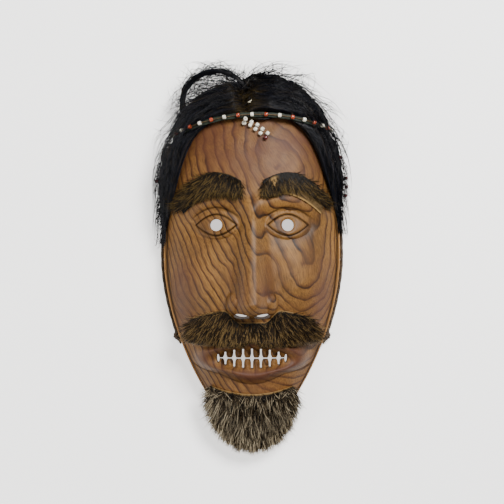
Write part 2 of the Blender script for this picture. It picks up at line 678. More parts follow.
def oiled_softwood(colours):
    """Oiled, carved softwood: growth rings cut by the carving, long fibres, stain and dark incised lines.

    The rings are cylinders 6 mm apart round a pith that runs slantwise in front of the mask's right side, so
    flat places show broad figure and steep ones close lines. The oil gives a soft gloss over open grain.
    """
    material, tree, shader = new_material("oiled_softwood", IOR=1.45)
    ring_pitch = 6.0 * mm
    ring_bend = 0.026
    fibre_stretch = 0.06
    grain_depth = 0.35 * mm
    object_place = add_node(tree, "ShaderNodeTexCoord").outputs["Object"]
    pith = add_node(
        tree, "ShaderNodeMapping", {
            "Vector": object_place,
            "Location": (88 * mm, -10 * mm, 112 * mm),
            "Rotation": (math.radians(-8), 0.0, math.radians(28)),
        }, vector_type="TEXTURE",
    ).outputs[0]
    warp = noise(tree, pith, 15.0, 3.0).outputs["Color"]
    centred = worked_out_vector(tree, "SUBTRACT", warp, grey(0.5))
    scaled = worked_out_vector(tree, "MULTIPLY", centred, grey(ring_bend))
    bent = worked_out_vector(tree, "ADD", pith, scaled)
    rings = add_node(
        tree, "ShaderNodeTexWave", {
            "Vector": bent,
            "Scale": full_turn / 20.0 / ring_pitch,
            "Distortion": 1.2,
            "Detail": 3.0,
            "Detail Scale": 0.9,
            "Detail Roughness": 0.6,
        }, wave_type="RINGS", rings_direction="Y", wave_profile="SAW",
    ).outputs["Fac"]
    ring_colour = ramp(
        tree, rings,
        (0.0, colours.wood_mid), (0.05, colours.wood_light), (0.56, colours.wood_light),
        (0.82, colours.wood_mid), (0.91, colours.wood_dark), (0.97, colours.wood_dark),
        (1.0, colours.wood_mid),
    )
    fading = noise(tree, bent, 38.0, 2.0).outputs["Fac"]
    ring_share = held_range(tree, fading, 0.32, 0.62, 0.30, 0.95)
    figured = blended(tree, ring_share, (*colours.wood_base, 1.0), ring_colour)
    stretched = add_node(tree, "ShaderNodeMapping", {"Vector": bent, "Scale": (1.0, fibre_stretch, 1.0)})
    fibres = noise(tree, stretched.outputs[0], 900.0, 4.0, 0.65).outputs["Fac"]
    fibre_tone = ramp(tree, fibres, (0.32, grey(0.48)), (0.66, grey(1.25)))
    with_fibres = blended(tree, 0.85, figured, fibre_tone, "MULTIPLY")
    patches = noise(tree, object_place, 24.0, 4.0, 0.6).outputs["Fac"]
    patch_tone = ramp(tree, patches, (0.30, grey(0.60)), (0.68, grey(1.12)))
    toned = blended(tree, 0.8, with_fibres, patch_tone, "MULTIPLY")
    patchy = held_range(tree, patches, 0.30, 0.56, 0.0, 1.0)
    stain_share = worked_out(tree, "MULTIPLY", painted(tree, "stain"), patchy)
    stained = blended(tree, stain_share, toned, (*colours.wood_stain, 1.0))
    worn = blended(tree, painted(tree, "worn"), stained, (*colours.wood_worn, 1.0))
    lined = blended(tree, painted(tree, "incised"), worn, (*colours.wood_line, 1.0))
    tree.links.new(lined, shader.inputs["Base Color"])
    tree.links.new(held_range(tree, patches, 0.0, 1.0, 0.38, 0.64), shader.inputs["Roughness"])
    oil = held_range(tree, painted(tree, "dull"), 0.0, 1.0, 0.22, 0.01)
    tree.links.new(oil, shader.inputs["Specular IOR Level"])
    roughen(tree, shader, worked_out(tree, "MULTIPLY_ADD", rings, 0.55, fibres), 0.5, grain_depth)
    return material


def black_hair(colours):
    """Straight black hair: nearly black, with a cool shine along each lock and brown hide at the parting."""
    material, tree, shader = new_material("black_hair", Roughness=0.34, IOR=1.5, Specular_IOR_Level=0.1)
    tone = ramp(
        tree, painted(tree, "shade"),
        (0.0, tuple(0.4 * c for c in colours.hair)), (0.62, colours.hair),
        (0.86, colours.hair_cool), (1.0, colours.hair_brown),
    )
    mixed = blended(tree, painted(tree, "scalp"), tone, (*colours.scalp, 1.0))
    tree.links.new(mixed, shader.inputs["Base Color"])
    return material


def brown_pelt(colours, name, root, middle, tip):
    """Banded animal fur: dark roots, brown middles and pale tips, dull, with bare hide at its edge."""
    material, tree, shader = new_material(name, Roughness=0.6, IOR=1.5, Specular_IOR_Level=0.12)
    part_along = worked_out(tree, "MULTIPLY", painted(tree, "along"), 0.42)
    both = worked_out(tree, "MULTIPLY_ADD", painted(tree, "shade"), 0.58, part_along)
    bands = ramp(tree, both, (0.26, root), (0.50, middle), (0.82, tip))
    mixed = blended(tree, painted(tree, "skin"), bands, (*colours.pelt_skin, 1.0))
    tree.links.new(mixed, shader.inputs["Base Color"])
    return material


def thin_hide(name, colour, pale, crease_size):
    """Tanned hide strip: dark and dull, creased across, rubbed paler on its ridges."""
    material, tree, shader = new_material(name, Roughness=0.58, IOR=1.5, Specular_IOR_Level=0.2)
    object_place = add_node(tree, "ShaderNodeTexCoord").outputs["Object"]
    creases = noise(tree, object_place, 1.0 / crease_size, 4.0, 0.6).outputs["Fac"]
    tree.links.new(ramp(tree, creases, (0.42, colour), (0.70, pale)), shader.inputs["Base Color"])
    roughen(tree, shader, creases, 0.5, 0.3 * mm)
    return material


def bead_glass(name, colour):
    """Opaque drawn glass: glossy, a little uneven in tone from bead to bead, with faint dirt."""
    material, tree, shader = new_material(
        name, Roughness=0.16, IOR=1.5, Coat_Weight=0.3, Coat_Roughness=0.08
    )
    object_place = add_node(tree, "ShaderNodeTexCoord").outputs["Object"]
    dirt = noise(tree, object_place, 420.0, 3.0).outputs["Fac"]
    darker = tuple(0.62 * c for c in colour)
    tree.links.new(ramp(tree, dirt, (0.38, darker), (0.56, colour)), shader.inputs["Base Color"])
    return material


# Wooden face

tool_floor = -3 * mm


def mask_solid(face):
    """The carved block: relief to just inside the outline, a rounded arris, the side and the flat rear face.

    A ring of the side is given by its way out to the outline and by its drop: first as a share of the way
    down to the arris, and past 1 in millimetres below it.
    """
    columns = np.linspace(-1.0, 1.0, 175)
    columns = 0.84 * columns + 0.16 * columns ** 3
    inner = 0.985
    x, y = square_to_mask(face, columns * inner, dense_rows(face, 376) * inner)
    z = carved_height(face, x, y)
    edge = rim_loop(*x.shape)
    points = [np.stack([x, y, z], axis=-1).reshape(-1, 3)]
    outer = points[0][edge]
    outer_share = edge_share(face, outer[:, 0], outer[:, 1])[:, None]
    ends = outer[:, :2] / outer_share
    start = outer[:, 2]
    last = edge
    total = x.size
    faces = [grid_quads(*x.shape)]
    arris = face.rim_height - 1.2 * mm
    for reach, drop in ((0.45, 0.12), (0.8, 0.38), (1.0, 1.0), (1.0, 2.2), (1.0, 5.0), (1.0, 9.0)):
        flat = outer[:, :2] + (ends - outer[:, :2]) * reach
        lip = start + (arris - start) * min(drop, 1.0)
        level = np.where(drop <= 1.0, lip, arris - (drop - 1.0) * mm)
        points.append(np.column_stack([flat, level]))
        ring = total + np.arange(len(edge))
        faces.append(ring_band(last, ring))
        total += len(edge)
        last = ring
    points.append(np.column_stack([ends, np.zeros(len(edge))]))
    ring = total + np.arange(len(edge))
    faces.append(ring_band(last, ring))
    faces.append(ring[None, ::-1])
    return np.concatenate(points), faces


def hollow_solid(face):
    """The space behind: the dome set in by the wall, a scoop behind the nose, and rows of adze scallops."""
    x, y = square_to_mask(face, np.linspace(-1.0, 1.0, 61), np.linspace(-1.0, 1.0, 121), face.wall)
    rim = np.minimum(edge_share(face, x, y, -face.wall), 1.0)
    z = (face.dome_height - face.wall) * (1.0 - rim ** face.dome_power) ** face.dome_steepness
    scoop = bell(x / (11 * mm)) * bell((y - face.nose_base_level - 26 * mm) / (26 * mm))
    scallops = np.abs(np.sin(y / (5.5 * mm) + 0.6 * np.sin(x / (8 * mm))))
    scallops = scallops * np.abs(np.sin(x / (7 * mm) + 0.4))
    carved = (face.scallop_depth * scallops - 0.4 * mm) * (1.0 - rim ** 8)
    return closed_relief(x, y, z + 0.5 * face.nose_height * scoop + carved, tool_floor)


def oval(centre_x, centre_y, half_x, half_y, sides):
    """Corners of an ellipse: centre plus half sizes times cosine and sine."""
    turn = full_turn * np.arange(sides) / sides
    return np.column_stack([centre_x + half_x * np.cos(turn), centre_y + half_y * np.sin(turn)])


def gap_outline(face, x):
    """One upright gap between teeth: straight sides that swing out to a star where four teeth meet."""
    reach = face.mouth_half_height * math.sqrt(1.0 - (x / face.mouth_half_length) ** 2) - 0.4 * mm
    upper = np.linspace(0.5 * face.bite_slit, reach, 12)
    up = np.concatenate([-upper[::-1], upper])
    swing = 1.2 * mm * bell(np.abs(up) / (2.0 * mm)) + 0.2 * mm * (np.abs(up) / reach) ** 4
    taper = 1.0 - 0.2 * (np.abs(up) / reach)
    half = 0.5 * face.tooth_gap * taper + swing - 0.15 * mm
    right = np.column_stack([x + half, face.mouth_level + up])
    left = np.column_stack([x - half, face.mouth_level + up])[::-1]
    return np.concatenate([right, left])


def bite_half_length(face):
    """Half the length of the bite: the outer gaps' pitch, a little shortened."""
    return (face.gaps_each_side + 1) * face.tooth_pitch * 0.95


def opening_solids(face):
    """Cutters for the pupils, the nostrils, the tooth gaps and the mouth corners, right through the wood."""
    low = tool_floor
    high = face.dome_height + 2.0 * face.nose_height
    solids = []
    for side in (-1, 1):
        pupil = oval(side * face.eye_offset, face.eye_level, 0.5 * face.pupil, 0.5 * face.pupil, 48)
        solids.append(prism(pupil, low, high))
        nostril_y = face.nose_base_level + 0.6 * face.nostril_half_height
        nostril = oval(
            side * face.nostril_offset, nostril_y, face.nostril_half_length, face.nostril_half_height, 36
        )
        solids.append(prism(nostril, low, high, face.nostril_slant, face.nostril_level))
        corner_x = side * bite_half_length(face)
        corner = oval(corner_x, face.mouth_level, 0.55 * face.tooth_gap, 0.42 * face.mouth_half_height, 24)
        solids.append(prism(corner, low, high))
    for i in range(-face.gaps_each_side, face.gaps_each_side + 1):
        solids.append(prism(gap_outline(face, i * face.tooth_pitch), low, high))
    return joined(solids)


def slit_solid(face):
    """The thin bite between the rows of teeth."""
    half_sizes = np.array([bite_half_length(face), 0.5 * face.bite_slit])
    corners = np.array([(-1, -1), (1, -1), (1, 1), (-1, 1)]) * half_sizes
    outline = corners + np.array([0.0, face.mouth_level])
    return prism(outline, tool_floor, face.dome_height + 2.0 * face.nose_height)


def cut_out(piece, tools):
    """Cuts closed tools out of a closed piece and applies the result."""
    for tool in tools:
        modifier = piece.modifiers.new("cut", "BOOLEAN")
        modifier.operation = "DIFFERENCE"
        modifier.solver = "MANIFOLD"
        modifier.object = tool
    graph = bpy.context.evaluated_depsgraph_get()
    shaped = bpy.data.meshes.new_from_object(piece.evaluated_get(graph))
    piece.modifiers.clear()
    old = piece.data
    piece.data = shaped
    bpy.data.meshes.remove(old)
    for tool in tools:
        bpy.data.objects.remove(tool, do_unlink=True)
    fewest_faces = 1000
    if len(piece.data.polygons) < fewest_faces:
        raise RuntimeError("the cuts took the whole piece away")


def paint_wood(piece, face):
    """Writes the incised, stain, worn and dull attributes from each point's place on the face."""
    mesh = piece.data
    place_of = np.empty(len(mesh.vertices) * 3, np.float32)
    mesh.vertices.foreach_get("co", place_of)
    x, y, z = (place_of.reshape(-1, 3) - mask_middle).T
    front = step_up(z - face_height(face, x, y), -1.6 * mm, -0.9 * mm)
    out = mouth_distance(face, x, y)
    lips = bell((out - face.lip_offset) / (5 * mm))
    nose_sides = bell((np.abs(x) - 12 * mm) / (7 * mm)) * bell((y + 22 * mm) / (22 * mm))
    cheek_edge = bell((np.abs(x) - 57 * mm) / (12 * mm)) * bell((y + 30 * mm) / (34 * mm))
    lower = 0.55 * step_up(-y, 75 * mm, 135 * mm)
    upper = 0.75 * step_up(y, 30 * mm, 100 * mm)
    stain = np.clip(0.85 * lips + 0.7 * nose_sides + 0.75 * cheek_edge + lower + upper, 0.0, 0.9)
    away = rim_distance(face, x, y)
    worn = bell((away - 0.6 * mm) / (0.75 * mm)) * step_up(z, 4 * mm, 10 * mm)
    for label, values in (
        ("incised", incised(face, x, y) * front),
        ("stain", stain * front),
        ("worn", 0.6 * worn),
        ("dull", np.clip(incised(face, x, y) + 1.0 - step_up(away, 2 * mm, 16 * mm), 0.0, 1.0)),
    ):
        layer = mesh.attributes.new(label, "FLOAT", "POINT")
        layer.data.foreach_set("value", values.astype(np.float32))
    mesh.shade_smooth()
    mesh.set_sharp_from_angle(angle=math.radians(42.0))


class MASK_OT_face(bpy.types.Operator):
    """Carve the wooden face with its hollow, eye holes, nostrils and teeth"""

    bl_idname = "mask.face"
    bl_label = "Wooden Face"

    def execute(self, context):
        face = context.scene.mask_face
        wood = oiled_softwood(context.scene.mask_colours)
        piece = new_piece("carved_face", *mask_solid(face), wood, crease=None)
        tools = [
            new_piece("hollow_tool", *hollow_solid(face), wood, crease=None),
            new_piece("opening_tool", *opening_solids(face), wood, crease=None),
            new_piece("slit_tool", *slit_solid(face), wood, crease=None),
        ]
        cut_out(piece, tools)
        paint_wood(piece, face)
        place(piece, "oiled_wood", "mask_body")
        return {"FINISHED"}


# Hair cap

hair_end_left = math.radians(169)
hair_end_right = math.radians(15)
parting_angle = math.radians(95)
loose_top = 165 * mm


def cap_sizes(hair, angle):
    """Margin, inset, bulge and lock height of the cap in a direction, as sine swells between its ends."""
    along = np.clip((hair_end_left - angle) / (hair_end_left - hair_end_right), 0.0, 1.0)
    swell = np.sin(math.pi * along)
    margin = hair.margin_end + (hair.margin_top - hair.margin_end) * swell ** 0.6
    # The outline dips on the parting and, wider, beside it under the loop
    margin = margin - 6 * mm * bell((angle - parting_angle - 0.27) / 0.24)
    margin = margin - 5 * mm * bell((angle - parting_angle - 0.05) / 0.10)
    inset = hair.inset_end + (hair.inset_side - hair.inset_end) * swell ** 0.8
    inset = inset + hair.inset_crown * np.exp(-(np.abs(angle - 0.5 * math.pi) / 0.55) ** 3)
    bulge = hair.bulge_end + (hair.bulge_top - hair.bulge_end) * swell ** 0.6
    bulge = bulge * (1.0 - 0.55 * bell((angle - parting_angle) / 0.10))
    clump = hair.clump * np.cos(2.0 * hair.clumps * angle)
    taper = 0.22 + 0.78 * np.clip(np.minimum(along, 1.0 - along) / 0.09, 0.0, 1.0) ** 0.6
    return margin * taper, inset * taper, bulge * taper, clump


def cap_point(face, hair, angle, turn, lift=0.0):
    """A point over the cap: across by the turn's cosine, up by its sine to a power over a sloping chord."""
    edge_x, edge_y = outline_point(face, angle)
    normal_x, normal_y = outline_normal(face, angle)
    margin, inset, bulge, clump = cap_sizes(hair, angle)
    inner_z = face_height(face, edge_x - inset * normal_x, edge_y - inset * normal_y)
    part = 0.5 + 0.5 * np.cos(turn)
    sine = np.clip(np.sin(turn), 0.0, 1.0)
    chord = inner_z + 1.5 * mm + (hair.lowest + 2 * mm - inner_z) * part
    out = part * (margin + inset) - inset + clump * part + lift * np.cos(turn)
    up = chord + sine ** 0.75 * (bulge + clump) + 0.4 * clump * part + lift * sine
    return np.stack([edge_x + out * normal_x, edge_y + out * normal_y, up], axis=-1)


def band_line(band, x):
    """Height of the band's line up the face: a drooping parabola with a tilt."""
    return band.level - band.drop * (x / band.half_span) ** 2 + band.tilt * x


def pressed_by_band(band, points):
    """Hair drawn in under the band: near its line the XZ superellipse share is held below the band's own."""
    x, y, z = np.moveaxis(points, -1, 0)
    share_out = (np.abs(x) / band.half_span) ** band.power + (np.abs(z) / band.crown) ** band.power
    share_out = share_out ** (1.0 / band.power)
    beside = np.abs(y - band_line(band, x))
    # Held at a share under the strip and let out slowly on both sides of it
    allowed = 0.955 + np.maximum(beside - 2.4 * mm, 0.0) / (28 * mm)
    shrink = np.minimum(1.0, allowed / np.maximum(share_out, 1e-6))
    return np.stack([x * shrink, y, z * shrink], axis=-1)


def cap_solid(face, hair, band):
    """The cap's underlayer: fine locks above, and below it the wood's surface and side with a thin gap."""
    angles = np.linspace(hair_end_left, hair_end_right, 320)[:, None]
    turns = np.linspace(0.0, math.pi, 34)[None, :]
    angle = angles + 0.0 * turns
    locks = 0.35 * mm * np.sin(150.0 * turns + 3.0 * np.sin(9.0 * angles)) * np.sin(turns)
    top = cap_point(face, hair, angle, turns + 0.0 * angles, -1.1 * mm * np.sin(turns) + locks)
    edge_x, edge_y = outline_point(face, angles)
    normal_x, normal_y = outline_normal(face, angles)
    margin, inset, _, _ = cap_sizes(hair, angles)
    inside = np.linspace(0.97, 0.0, 12)[None, :]
    reach = -inset * inside
    low = face_height(face, edge_x + reach * normal_x, edge_y + reach * normal_y) + 0.3 * mm
    outside = np.array([[0.3, 0.3, 0.3]]) * mm + 0.0 * margin
    outside_low = np.array([[0.9, 0.5, 0.0]]) * (face.rim_height - hair.lowest) + hair.lowest + 0.0 * margin
    last = 0.7 * margin
    reach = np.concatenate([reach, outside, last], axis=1)
    low = np.concatenate([low, outside_low, np.full_like(last, hair.lowest)], axis=1)
    under = np.stack([edge_x + reach * normal_x, edge_y + reach * normal_y, low], axis=-1)
    return rings_to_tube(np.concatenate([pressed_by_band(band, top), under], axis=1)[:, ::-1])


def cap_hairs(face, hair, band, randoms, away):
    """Hair paths on one side, in locks: each starts near the parting or farther on and runs away from it."""
    amount = hair.cap_hairs
    stations = 8
    locks = 150
    reach = hair_end_left - parting_angle if away > 0 else parting_angle - hair_end_right
    lock = randoms.integers(0, locks, amount)
    lock_start = np.clip(randoms.uniform(-0.04, 1.0, locks), 0.0, 1.0)[lock]
    start = parting_angle + away * (reach * lock_start + randoms.normal(0.0, 0.03, amount))
    span = randoms.uniform(0.30, 0.55, locks)[lock] * randoms.uniform(0.8, 1.3, amount)
    turn = math.pi * (randoms.uniform(0.03, 0.97, locks)[lock] + randoms.normal(0.0, 0.035, amount))
    t = np.linspace(0.0, 1.0, stations)[None, :]
    sway = (randoms.normal(0.0, 0.05, locks)[lock] + randoms.normal(0.0, 0.02, amount))[:, None]
    ripple = 0.012 * np.sin(6.0 * t + full_turn * randoms.random(locks)[lock][:, None])
    limit = (hair_end_left if away > 0 else -hair_end_right) + randoms.uniform(-0.06, 0.13, amount)
    span = np.clip(span, 0.04, np.maximum(limit - away * start, 0.04))
    angle = start[:, None] + away * span[:, None] * t
    turns = np.clip(turn[:, None] + (sway * t + ripple) * math.pi, 0.01, 0.99 * math.pi)
    lock_height = randoms.uniform(-0.7, 0.5, locks)[lock][:, None]
    height = (lock_height + randoms.uniform(-0.3, 0.3, (amount, 1))) * mm
    bow = randoms.uniform(0.0, 0.9, (amount, 1)) * mm * np.sin(math.pi * t)
    loose = np.maximum(randoms.normal(0.0, 0.4, (amount, 1)), 0.0) * mm * t * t
    return pressed_by_band(band, cap_point(face, hair, angle, turns, height + bow + loose))


def hair_radii(paths, radius, randoms):
    """Radius at each station: full along the hair, falling to the tip, with a spread between hairs."""
    t = np.linspace(0.0, 1.0, paths.shape[1])[None, :]
    spread = randoms.uniform(0.7, 1.3, (paths.shape[0], 1))
    full = 0.55 + 0.45 * np.sin(math.pi * np.clip(t + 0.15, 0.0, 1.0))
    return radius * spread * full * (1.0 - 0.75 * t ** 3)


def hair_piece(name, paths, radii, material, randoms, near_part=False):
    """One object of many hairs with their along and shade attributes, browned near the parting if asked."""
    points, faces, along = hair_solids(paths, radii)
    hairs, stations, _ = paths.shape
    layers = {"along": along, "shade": per_hair(randoms.random(hairs), stations)}
    if near_part:
        brown = per_hair(randoms.random(hairs), stations)
        layers["scalp"] = 0.75 * parting_share(points) * brown
    return new_piece(name, points, faces, material, layers, crease=None)


def parting_share(points):
    """1 on the parting, falling off to both sides and towards the crown."""
    x, y = points[:, 0], points[:, 1]
    return bell((x + 6 * mm) / (13 * mm)) * step_up(162 * mm - y, 4 * mm, 16 * mm)


def loop_point(hair, turn, grown=1.0):
    """A point of the loop's ellipse, grown by a share: half sizes by cosine and sine, rising by sine."""
    x = hair.loop_middle_x + hair.loop_half_width * grown * np.cos(turn)
    y = hair.loop_middle_y + hair.loop_half_height * grown * np.sin(turn)
    return x, y, hair.loop_level + hair.loop_rise * np.sin(turn)


def loop_path(hair, amount):
    """The loop's middle line, from over the left temple round to the parting."""
    turn = np.linspace(math.radians(205), math.radians(-28), amount)
    return np.stack(loop_point(hair, turn), axis=-1)


def loop_hairs(hair, randoms):
    """Hairs of the loop: each keeps its own offset from the middle line, turning slowly about it."""
    amount = hair.loop_hairs
    stations = 16
    path = loop_path(hair, stations)
    _, across, second = path_frames(path)
    t = np.linspace(0.0, 1.0, stations)[None, :]
    spread = hair.loop_spread * (1.15 - 0.45 * t + 0.4 * step_up(t, 0.8, 1.0))
    reach = spread * np.sqrt(randoms.random((amount, 1)))
    stray = randoms.random((amount, 1)) < 0.06
    farther = reach * (1.0 + 2.6 * np.sin(math.pi * t) * randoms.random((amount, 1)))
    reach = np.where(stray, farther, reach)
    turn = full_turn * randoms.random((amount, 1)) + 1.2 * t
    turn = turn + 0.25 * np.sin(6.0 * t + full_turn * randoms.random((amount, 1)))
    offset = across[None] * (reach * np.cos(turn))[..., None]
    offset = offset + second[None] * (reach * np.sin(turn))[..., None]
    return path[None] + offset


def flyaway_hairs(face, hair, randoms):
    """Loose hairs: each leaves the cap's outer side in a curve along it and outward, kept near the mask."""
    amount = hair.flyaways
    t = np.linspace(0.0, 1.0, 8)[None, :]
    angle = randoms.uniform(hair_end_right, hair_end_left, amount)[:, None]
    away = np.sign(angle - parting_angle)
    turn = math.pi * randoms.uniform(0.0, 0.55, (amount, 1))
    run = randoms.uniform(-0.12, 0.5, (amount, 1)) * away
    angles = np.clip(angle + run * t, hair_end_right - 0.1, hair_end_left + 0.1)
    rise = (1.5 + 19.0 * randoms.random((amount, 1)) ** 1.25) * mm
    curl = randoms.uniform(-0.5, 0.9, (amount, 1))
    rise = rise * (0.4 + 0.6 * np.clip(np.sin(angle), 0.0, 1.0))
    lift = rise * (t + curl * t * (1.0 - t))
    paths = cap_point(face, hair, angles + 0.0 * t, turn + 0.0 * t, lift)
    drift = randoms.normal(0.0, 3.6, (amount, 1, 3)) * mm * (t * t)[..., None]
    drift = drift + randoms.normal(0.0, 2.0, (amount, 1, 3)) * mm * np.sin(math.pi * t)[..., None]
    paths = paths + drift
    wide = np.abs(paths[..., 0])
    paths[..., 0] = np.sign(paths[..., 0]) * (wide - soft_excess(wide, 80 * mm, 7 * mm))
    paths[..., 1] = paths[..., 1] - soft_excess(paths[..., 1], loose_top, 8 * mm)
    paths[..., 2] = np.maximum(paths[..., 2], 1 * mm)
    return paths


def soft_excess(value, start, room):
    """What to take off a length past its start, so that it nears start plus room.

    It is the excess, less the room times one minus the exponential of minus excess over room.
    """
    excess = np.maximum(value - start, 0.0)
    return excess - room * (1.0 - np.exp(-excess / room))


def loop_strays(hair, randoms):
    """Loose hairs that leave the loop: its ellipse grown by a share that rises along each hair."""
    amount = hair.loop_strays
    t = np.linspace(0.0, 1.0, 8)[None, :]
    start = np.radians(randoms.uniform(10, 215, (amount, 1)))
    turn = start + randoms.uniform(-0.9, 0.9, (amount, 1)) * t
    rise = 0.6 * randoms.random((amount, 1)) ** 1.2
    grown = 1.0 + rise * t + randoms.normal(0.0, 0.06, (amount, 1)) * np.sin(full_turn * t)
    x, y, z = loop_point(hair, turn, grown)
    z = z + randoms.normal(0.0, 5.0, (amount, 1)) * mm * t
    x = x + soft_excess(-x, 76 * mm, 8 * mm)
    y = y - soft_excess(y, loose_top, 8 * mm)
    return np.stack([x, y, np.maximum(z, 2 * mm)], axis=-1)


def tangled_hairs(hair, randoms):
    """Thin hairs across the loop's opening: chords of its ellipse bent by a random bow."""
    amount = hair.tangled
    t = np.linspace(0.0, 1.0, 8)[None, :]
    first = np.radians(randoms.uniform(20, 200, (amount, 1)))
    second = np.radians(randoms.uniform(-60, 240, (amount, 1)))
    turn_x = (1.0 - t) * np.cos(first) + t * np.cos(second)
    turn_y = (1.0 - t) * np.sin(first) + t * np.sin(second)
    bow = np.sin(math.pi * t)
    half_width = hair.loop_half_width - 1.0 * mm
    half_height = hair.loop_half_height - 1.3 * mm
    x = hair.loop_middle_x + half_width * turn_x + bow * randoms.normal(0.0, 3.5, (amount, 1)) * mm
    y = hair.loop_middle_y + half_height * turn_y + bow * randoms.normal(1.0, 3.5, (amount, 1)) * mm
    z = hair.loop_level + 3 * mm * turn_y + bow * randoms.normal(1.0, 3.0, (amount, 1)) * mm
    return np.stack([x, y, z], axis=-1)


def bare_fleck(face, hair, colours):
    """A small curved scale of pale hide that lies on the parting, as a flattened ellipsoid."""
    turns = np.linspace(0.2 * math.pi, 0.98 * math.pi, 200)
    ridge = cap_point(face, hair, np.full(200, math.radians(91.0)), turns, 0.6 * mm)
    middle = ridge[np.argmin(np.abs(ridge[:, 1] - 133.5 * mm))]
    round_about = full_turn * np.arange(24)[None, :] / 24
    down = np.linspace(0.02, math.pi - 0.02, 11)[:, None]
    long_way = 2.6 * mm * np.sin(down) * np.cos(round_about)
    cross_way = 0.9 * mm * np.sin(down) * np.sin(round_about) + 0.12 * long_way ** 2 / mm
    lean = math.radians(35)
    x = middle[0] + long_way * math.cos(lean) - cross_way * math.sin(lean)
    y = middle[1] + long_way * math.sin(lean) + cross_way * math.cos(lean)
    z = middle[2] + 0.7 * mm * np.cos(down) + 0.0 * x
    points, faces = rings_to_tube(np.stack([x, y, z], axis=-1))
    bare = thin_hide("bare_hide", colours.bare_hide, colours.bare_hide_rubbed, 2 * mm)
    return new_piece("bare_fleck", points, outward(points, faces), bare)


class MASK_OT_hair(bpy.types.Operator):
    """Lay the black hair cap, its open loop and its loose hairs"""

    bl_idname = "mask.hair"
    bl_label = "Hair"

    def execute(self, context):
        face = context.scene.mask_face
        hair = context.scene.mask_hair
        band = context.scene.mask_band
        black = black_hair(context.scene.mask_colours)
        randoms = np.random.default_rng(11)
        points, faces = cap_solid(face, hair, band)
        shade = 0.35 + 0.2 * np.sin(points[:, 0] / (0.9 * mm)) * np.sin(points[:, 1] / (1.1 * mm))
        layers = {"shade": shade, "scalp": 0.95 * parting_share(points)}
        place(new_piece("hair_cap", points, faces, black, layers, crease=None), "black_hair", "hair")
        for name, away in (("hair_right_side", -1), ("hair_left_side", 1)):
            paths = cap_hairs(face, hair, band, randoms, away)
            radii = hair_radii(paths, hair.hair_radius, randoms)
            place(hair_piece(name, paths, radii, black, randoms, near_part=True), "black_hair")
        loop = loop_hairs(hair, randoms)
        radii = hair_radii(loop, hair.hair_radius, randoms)
        place(hair_piece("hair_loop", loop, radii, black, randoms), "black_hair")
        place(bare_fleck(face, hair, context.scene.mask_colours), "pelt")
        loose = flyaway_hairs(face, hair, randoms)
        loose = np.concatenate([loose, tangled_hairs(hair, randoms), loop_strays(hair, randoms)])
        radii = hair_radii(loose, hair.flyaway_radius, randoms)
        place(hair_piece("loose_hairs", loose, radii, black, randoms), "black_hair")
        return {"FINISHED"}


# Headband and beads

def band_point(band, part):
    """The band's middle line: x by a cosine, y on its line, z a superellipse over the hair."""
    turn = math.pi * (0.5 - 0.5 * part * band.reach)
    x = band.half_span * np.cos(turn)
    rise = (1.0 - np.abs(x / band.half_span) ** band.power) ** (1.0 / band.power)
    return np.stack([x, band_line(band, x), band.crown * rise], axis=-1)


def band_frames(band, part):
    """Points of the middle line with the directions ahead, out of the hair and sideways across the band."""
    small = 0.004
    point = band_point(band, part)
    ahead = band_point(band, np.minimum(part + small, 1.0))
    ahead = ahead - band_point(band, np.maximum(part - small, -1.0))
    ahead = ahead / np.linalg.norm(ahead, axis=-1, keepdims=True)
    out = point.copy()
    out[..., 1] = 0.45 * mm
    out = out - ahead * np.sum(out * ahead, axis=-1, keepdims=True)
    out = out / np.linalg.norm(out, axis=-1, keepdims=True)
    return point, ahead, out, np.cross(out, ahead)


def band_solid(band):
    """A flat strip with rolled edges: a rounded section carried along the middle line, slightly uneven."""
    part = np.linspace(-1.0, 1.0, 260)
    point, _, out, sideways = band_frames(band, part)
    turn = full_turn * np.arange(16) / 16
    wide = 0.5 * band.width * np.sign(np.cos(turn)) * np.abs(np.cos(turn)) ** 0.5
    thick = 0.5 * band.thickness * np.sign(np.sin(turn)) * np.abs(np.sin(turn)) ** 0.7
    uneven = 1.0 + 0.06 * np.sin(31.0 * part) + 0.05 * np.sin(77.0 * part + 1.0)
    rings = point[:, None] + sideways[:, None] * (wide[None, :] * uneven[:, None])[..., None]
    rings = rings + out[:, None] * thick[None, :, None]
    return rings_to_tube(rings)


def bead_solid(band, centre, axis):
    """A drilled round bead: a rounded section turned about the hole's axis."""
    axis = np.asarray(axis, float) / np.linalg.norm(axis)
    guide = np.array([0.0, 0.0, 1.0]) if abs(axis[2]) < 0.9 else np.array([1.0, 0.0, 0.0])
    across = np.cross(axis, guide)
    across = across / np.linalg.norm(across)
    second = np.cross(axis, across)
    sides = 20
    corners = 12
    round_about = full_turn * np.arange(sides) / sides
    section = full_turn * np.arange(corners) / corners
    middle = 0.25 * (band.bead_diameter + band.bead_hole)
    half = 0.25 * (band.bead_diameter - band.bead_hole)
    reach = middle + half * np.sign(np.cos(section)) * np.abs(np.cos(section)) ** 0.75
    along = 0.5 * band.bead_length * np.sign(np.sin(section)) * np.abs(np.sin(section)) ** 0.75
    spoke = across[None, :] * np.cos(round_about)[:, None] + second[None, :] * np.sin(round_about)[:, None]
    rings = np.asarray(centre) + spoke[:, None, :] * reach[None, :, None] + axis * along[None, :, None]
    index = np.arange(sides * corners).reshape(sides, corners)
    beside = np.roll(index, -1, axis=0)
    quads = np.stack([index, beside, np.roll(beside, -1, axis=1), np.roll(index, -1, axis=1)], axis=-1)
    return rings.reshape(-1, 3), [quads.reshape(-1, 4)]


